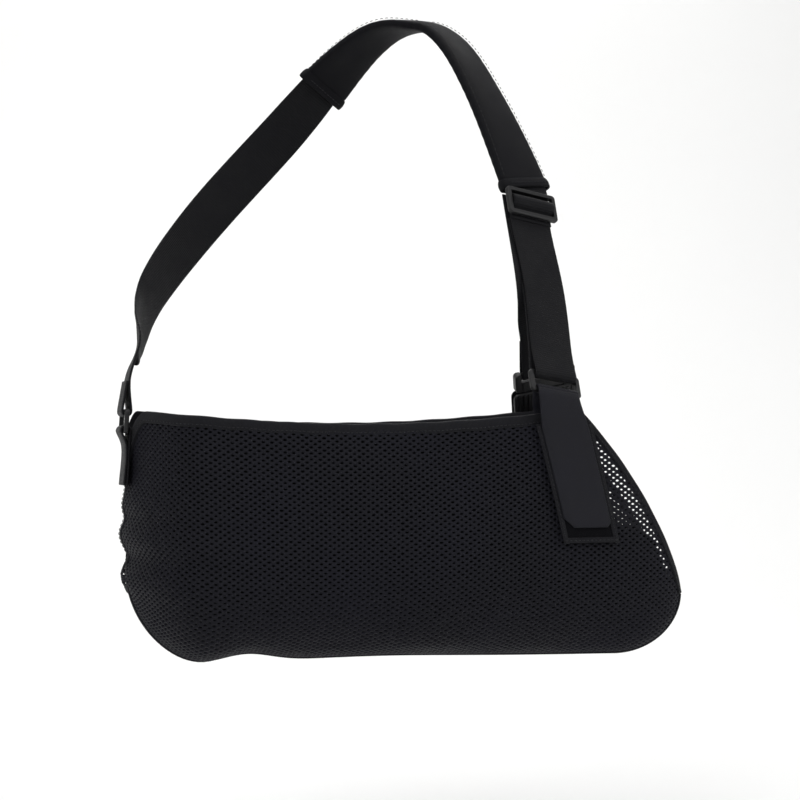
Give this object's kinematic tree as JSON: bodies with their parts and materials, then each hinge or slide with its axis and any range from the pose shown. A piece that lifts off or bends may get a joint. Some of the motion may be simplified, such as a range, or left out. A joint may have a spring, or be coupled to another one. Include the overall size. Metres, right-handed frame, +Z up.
{
  "type": "arm sling",
  "caption": "Arm sling: mesh forearm pouch hung from a webbing shoulder strap with a padded sleeve, slider, ring with hook closure and side-release buckle.",
  "frame": {"origin": "under the shoulder pad, where it rests on the top of the shoulder", "axes": "+X along the forearm from elbow to hand, -Y towards the outer panel's side, +Z up"},
  "size_m": [0.4303, 0.2283, 0.5087],
  "materials": {
    "mesh": "black spacer mesh with open oval cells",
    "binding": "black folded knitted tape",
    "webbing": "black woven webbing with fine cross ribs",
    "plastic": "black moulded acetal with a fine texture",
    "pad_fabric": "black brushed knit over foam",
    "foam": "dark open-cell foam",
    "hook_tape": "smooth dark back of hook tape",
    "loop_tape": "napped black loop pile"
  },
  "bodies": {
    "sling": {"outer_panel": "mesh", "inner_panel": "mesh", "outer_top_binding": "binding", "inner_top_binding": "binding", "outer_mouth_binding": "binding", "inner_mouth_binding": "binding", "elbow_seam_binding": "binding", "elbow_anchor_webbing": "webbing", "shoulder_strap": "webbing", "strap_return": "webbing", "inner_strand": "webbing", "inner_anchor_webbing": "webbing", "elbow_ring": "plastic", "front_ring": "plastic", "buckle_socket": "plastic", "pad_cover": "pad_fabric", "pad_front_hem": "pad_fabric", "pad_back_hem": "pad_fabric", "pad_foam": "foam", "closure_anchor": "hook_tape", "loop_pad": "loop_tape"},
    "closure_tab": {"closure_tab": "hook_tape"},
    "slider": {"tri_glide": "plastic", "strap_end_loop": "webbing"},
    "plug": {"buckle_plug": "plastic"},
    "prong_front": {"buckle_prong_front": "plastic"},
    "prong_rear": {"buckle_prong_rear": "plastic"}
  },
  "joints": [
    {"name": "closure_peel", "type": "hinge", "parent": "sling", "child": "closure_tab", "pos_m": [0.06393, -0.1663, -0.29446], "axis": [-0.9484, -0.2779, 0.1527], "range_deg": [0, 105], "deforming": ["closure_anchor"]},
    {"name": "slider_adjust", "type": "slide", "parent": "sling", "child": "slider", "axis": [-0.01, -0.4552, -0.8903], "range_m": [0, 0.05], "deforming": ["strap_return"]},
    {"name": "buckle_unplug", "type": "slide", "parent": "sling", "child": "plug", "axis": [-0.196, -0.48, 0.8551], "range_m": [0, 0.026], "deforming": ["inner_strand"]},
    {"name": "prong_front_squeeze", "type": "hinge", "parent": "plug", "child": "prong_front", "pos_m": [0.09866, -0.0887, -0.28542], "axis": [0.0764, -0.8768, -0.4747], "range_deg": [-8, 0], "stiffness_Nm_per_rad": 0.05},
    {"name": "prong_rear_squeeze", "type": "hinge", "parent": "plug", "child": "prong_rear", "pos_m": [0.06346, -0.0877, -0.29293], "axis": [0.0764, -0.8768, -0.4747], "range_deg": [0, 8], "stiffness_Nm_per_rad": 0.05}
  ],
  "couplings": [
    {"joint": "prong_rear_squeeze", "follows": "prong_front_squeeze", "ratio": -1}
  ]
}
